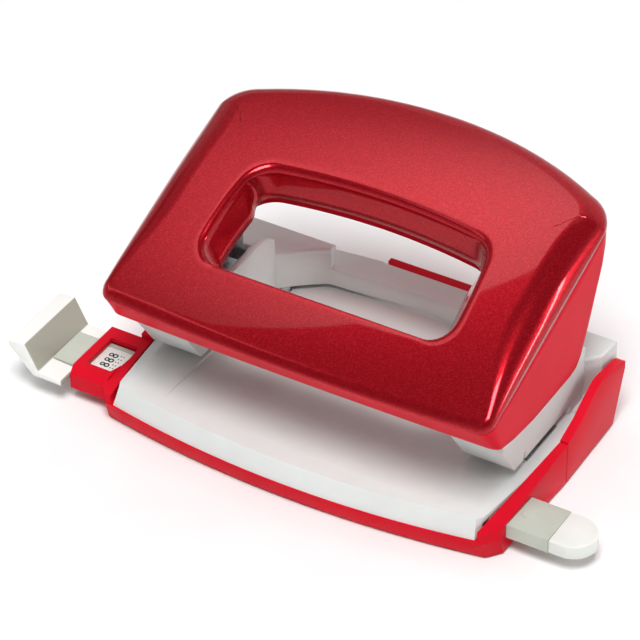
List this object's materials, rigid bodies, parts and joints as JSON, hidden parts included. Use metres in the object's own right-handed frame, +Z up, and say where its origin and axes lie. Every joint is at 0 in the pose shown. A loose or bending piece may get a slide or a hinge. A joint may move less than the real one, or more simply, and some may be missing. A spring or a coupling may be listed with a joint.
{
  "type": "two-hole paper punch",
  "caption": "Compact two-hole desk punch with a rocking window handle, sliding paper guide with format window and a pull-out chip tray.",
  "frame": {"origin": "on the table under the middle of the line through the two punch axes, 40 mm from each", "axes": "+X to the user's right along the hole line, +Y away from the user, +Z up"},
  "size_m": [0.1445, 0.075, 0.06],
  "materials": {
    "red_gloss": "glossy metallic red lacquered plastic",
    "red_satin": "satin moulded red plastic",
    "red_base": "satin moulded red plastic",
    "white_plastic": "satin moulded white plastic",
    "grey_plastic": "satin moulded grey plastic",
    "pale_plastic": "satin moulded pale grey plastic",
    "label": "printed film strip",
    "steel": "pressed sheet steel",
    "bright_steel": "turned and polished steel",
    "spring_steel": "drawn spring wire",
    "rubber": "soft black rubber"
  },
  "bodies": {
    "base": {"base_frame": "red_base", "front_feet": "rubber", "deck_plate": "white_plastic", "base_screws": "bright_steel", "punch_housing": "white_plastic", "housing_screws": "bright_steel", "hinge_cap_left": "white_plastic", "hinge_cap_right": "white_plastic", "die_plate_left": "steel", "die_plate_right": "steel", "pin_bracket_left": "steel", "pin_bracket_right": "steel", "hinge_pin_left": "bright_steel", "hinge_pin_right": "bright_steel", "rail_detent": "spring_steel", "return_spring_left": "spring_steel", "return_spring_right": "spring_steel"},
    "handle": {"handle_skin": "red_gloss", "handle_liner": "red_satin", "lever_arm_left": "steel", "lever_arm_right": "steel", "lever_screws": "bright_steel"},
    "left_punch": {"punch_pin_left": "bright_steel", "pin_clip_left": "spring_steel"},
    "right_punch": {"punch_pin_right": "bright_steel", "pin_clip_right": "spring_steel"},
    "guide": {"guide_rail": "grey_plastic", "rail_end_cap": "pale_plastic", "paper_stop": "pale_plastic", "format_strip": "label"},
    "tray": {"chip_tray": "red_base", "tray_feet": "rubber"}
  },
  "joints": [
    {"name": "handle_pivot", "type": "hinge", "parent": "base", "child": "handle", "pos_m": [0, 0.0235, 0.0144], "axis": [1, 0, 0], "range_deg": [0, 14], "stiffness_Nm_per_rad": 0.5, "springref_deg": -8.59},
    {"name": "left_punch_slide", "type": "slide", "parent": "base", "child": "left_punch", "axis": [0, 0, -1], "range_m": [0, 0.0055], "deforming": ["return_spring_left"]},
    {"name": "right_punch_slide", "type": "slide", "parent": "base", "child": "right_punch", "axis": [0, 0, -1], "range_m": [0, 0.0055], "deforming": ["return_spring_right"]},
    {"name": "guide_slide", "type": "slide", "parent": "base", "child": "guide", "axis": [-1, 0, 0], "range_m": [0, 0.08]},
    {"name": "tray_slide", "type": "slide", "parent": "base", "child": "tray", "axis": [0, 1, 0], "range_m": [0, 0.06]}
  ],
  "couplings": [
    {"joint": "left_punch_slide", "follows": "handle_pivot", "m_per_rad": 0.0221},
    {"joint": "right_punch_slide", "follows": "handle_pivot", "m_per_rad": 0.0221}
  ]
}
